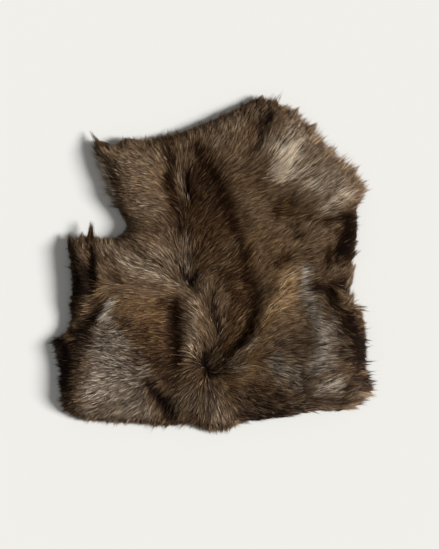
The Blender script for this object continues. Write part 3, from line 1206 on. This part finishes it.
def add_shadow(tree, colour, factor, darkest):
    """The colour, darker where the factor is low."""
    stops = ((0.3, (darkest,) * 3), (0.7, (1.0,) * 3))
    return mix_colour(tree, 1.0, colour, ramp(tree, factor, stops), "MULTIPLY")


def add_bump(tree, shader, height, strength, distance):
    bump = tree.nodes.new("ShaderNodeBump")
    bump.inputs["Strength"].default_value = strength
    bump.inputs["Distance"].default_value = distance
    tree.links.new(height, bump.inputs["Height"])
    tree.links.new(bump.outputs["Normal"], shader.inputs["Normal"])


# The hair's colour by shade, for the greyest and the most tan hair
GREY_HAIR = (
    (0.0, (0.003, 0.002, 0.0015)),
    (0.1, (0.0110, 0.0080, 0.0060)),
    (0.2, (0.068, 0.052, 0.040)),
    (0.33, (0.205, 0.165, 0.127)),
    (0.5, (0.49, 0.41, 0.32)),
    (0.65, (0.79, 0.67, 0.54)),
    (1.0, (0.92, 0.84, 0.73)),
)
TAN_HAIR = (
    (0.0, (0.004, 0.0012, 0.0004)),
    (0.1, (0.0205, 0.0082, 0.0030)),
    (0.2, (0.104, 0.051, 0.019)),
    (0.33, (0.290, 0.162, 0.066)),
    (0.5, (0.66, 0.39, 0.17)),
    (0.65, (0.90, 0.64, 0.34)),
    (1.0, (0.94, 0.79, 0.55)),
)


def coat_colour_group():
    """The hair's colour from its shade and warmth."""
    group, start, end = new_group(
        "Coat colour",
        [("Shade", "NodeSocketFloat", 0.3), ("Warmth", "NodeSocketFloat", 0.5)],
        [("Color", "NodeSocketColor")],
    )
    grey = ramp(group, start.outputs["Shade"], GREY_HAIR)
    tan = ramp(group, start.outputs["Shade"], TAN_HAIR)
    mixed = mix_colour(group, start.outputs["Warmth"], grey, tan)
    group.links.new(mixed, end.inputs["Color"])
    return group


def add_coat_colour(tree, coat_colour):
    """The coat's colour from the two values that the mesh holds at each point."""
    node = tree.nodes.new("ShaderNodeGroup")
    node.node_tree = coat_colour
    for attribute, socket in (("coat_shade", "Shade"), ("coat_warmth", "Warmth")):
        value = tree.nodes.new("ShaderNodeAttribute")
        value.attribute_name = attribute
        tree.links.new(value.outputs["Fac"], node.inputs[socket])
    return node.outputs["Color"]


def hair_material(coat_colour):
    material, tree, shader = new_material("reindeer hair", roughness=0.6, specular=0.05)
    tree.links.new(add_coat_colour(tree, coat_colour), shader.inputs["Base Color"])
    return material


def wool_material(coat_colour):
    """Matted fibres, darker between them."""
    material, tree, shader = new_material("reindeer wool", roughness=0.95, specular=0.15)
    fibre = add_noise(tree, scale=900, detail=3)
    colour = add_shadow(tree, add_coat_colour(tree, coat_colour), fibre, darkest=0.45)
    tree.links.new(colour, shader.inputs["Base Color"])
    add_bump(tree, shader, fibre, strength=0.8, distance=0.8 * MM)
    return material


SUEDE = ((0.3, (0.42, 0.33, 0.23)), (0.55, (0.50, 0.41, 0.30)), (0.75, (0.56, 0.48, 0.37)))


def skin_material():
    """The flesh side: tanned suede with a nap and faint blotches."""
    material, tree, shader = new_material("tanned suede", roughness=0.92, specular=0.2)
    tone = ramp(tree, add_noise(tree, scale=14, detail=4), SUEDE)
    nap = add_noise(tree, scale=700, detail=5)
    tree.links.new(add_shadow(tree, tone, nap, darkest=0.72), shader.inputs["Base Color"])
    add_bump(tree, shader, nap, strength=0.5, distance=0.3 * MM)
    return material


# Pieces


def lay_skin(charts, outline):
    """The tanned skin, flesh side down, flat on what it lies on."""
    cut = inset_outline(outline, SKIN_INSET)
    mesh = slab(
        "skin", charts, cut, SKIN_PITCH, 0.0, lambda x, y: np.full_like(x, SKIN_THICKNESS)
    )
    piece = add_piece("skin", mesh, skin_material())


WOOL_TONE = 0.45  # next to the hair over it


def lay_wool(charts, outline, coat_colour):
    """The dense wool under the hair, lumpy as the coat is."""
    edge = inset_outline(outline, WOOL_INSET)

    def top(x, y):
        return np.maximum(
            charts.read("height", x, y) - WOOL_DEPTH, SKIN_THICKNESS + WOOL_LEAST
        )

    mesh = slab("wool", charts, edge, WOOL_PITCH, SKIN_THICKNESS, top)
    place = np.zeros(len(mesh.vertices) * 3)
    mesh.vertices.foreach_get("co", place)
    x, y = (place.reshape(-1, 3)[:, :2] + PLAN_MIDDLE).T
    shade = charts.read("shade", x, y) * WOOL_TONE
    give_colours(mesh, shade, charts.read("warmth", x, y))
    add_piece("wool", mesh, wool_material(coat_colour))


def lay_coat(charts, outline, coat_colour):
    """All the hair, in bands from the neck to the rump."""
    draw = np.random.default_rng(SEED)
    locks = comb_locks(charts, draw)
    groups = [grow_hairs(charts, locks, draw), grow_fringe(charts, outline, draw)]
    hairs = joined_hairs(groups + grow_spikes(charts, draw))
    order = np.argsort(-hairs.y[:, 0], kind="stable")
    material = hair_material(coat_colour)
    for name, part in zip(BANDS, np.array_split(order, len(BANDS))):
        band = Hairs(*(values[part] for values in hairs))
        add_piece(name, hair_mesh(name, band, draw), material)


# Stage

PIXEL = 1.25 * MM  # what one pixel of the picture shows
PICTURE_HEIGHT = 549  # pixels
VIEW_CENTRE = np.array([8.75, -9.69]) * MM - PLAN_MIDDLE
CAMERA_HEIGHT = 2.4
SENSOR_HEIGHT_MM = 36
FLOOR_SIZE = 60
FLOOR_COLOUR = (0.800, 0.793, 0.757, 1)
SKY_COLOUR = (1, 1, 1, 1)
SKY_STRENGTH = 0.229
KEY_STRENGTH = 5.29
KEY_ELEVATION_DEG = 31
KEY_AZIMUTH_DEG = -3
KEY_SOFTNESS_DEG = 18


def lay_floor():
    bpy.ops.mesh.primitive_plane_add(size=FLOOR_SIZE, location=(0, 0, 0))
    floor = bpy.context.object
    floor.name = "floor"
    material, _, shader = new_material("pale floor", roughness=0.95, specular=0.0)
    shader.inputs["Base Color"].default_value = FLOOR_COLOUR
    floor.data.materials.append(material)


def hang_lights():
    """A soft even sky, and a low soft key light from the right."""
    world = bpy.data.worlds.new("studio")
    world.use_nodes = True
    sky = world.node_tree.nodes["Background"]
    sky.inputs["Color"].default_value = SKY_COLOUR
    sky.inputs["Strength"].default_value = SKY_STRENGTH
    bpy.context.scene.world = world

    key = bpy.data.lights.new("key", "SUN")
    key.energy = KEY_STRENGTH
    key.angle = math.radians(KEY_SOFTNESS_DEG)
    lamp = bpy.data.objects.new("key", key)
    from_zenith, turn = math.radians(90 - KEY_ELEVATION_DEG), math.radians(KEY_AZIMUTH_DEG)
    lamp.rotation_euler = (0, from_zenith, turn)
    bpy.context.scene.collection.objects.link(lamp)


def set_camera():
    """Straight above the hide, looking down."""
    lens = bpy.data.cameras.new("camera")
    lens.sensor_fit = "VERTICAL"
    lens.sensor_height = SENSOR_HEIGHT_MM
    lens.lens = SENSOR_HEIGHT_MM * CAMERA_HEIGHT / (PICTURE_HEIGHT * PIXEL)
    camera = bpy.data.objects.new("camera", lens)
    camera.location = (*VIEW_CENTRE, CAMERA_HEIGHT + PILE / 2)
    bpy.context.scene.collection.objects.link(camera)
    bpy.context.scene.camera = camera
    bpy.context.scene.view_settings.view_transform = "Standard"


def main():
    outline = smooth_loop([place for s in RIM for place in s.places_mm]) * MM
    charts = chart_hide(outline)
    coat_colour = coat_colour_group()
    lay_floor()
    hang_lights()
    set_camera()
    lay_skin(charts, outline)
    lay_wool(charts, outline, coat_colour)
    lay_coat(charts, outline, coat_colour)


main()
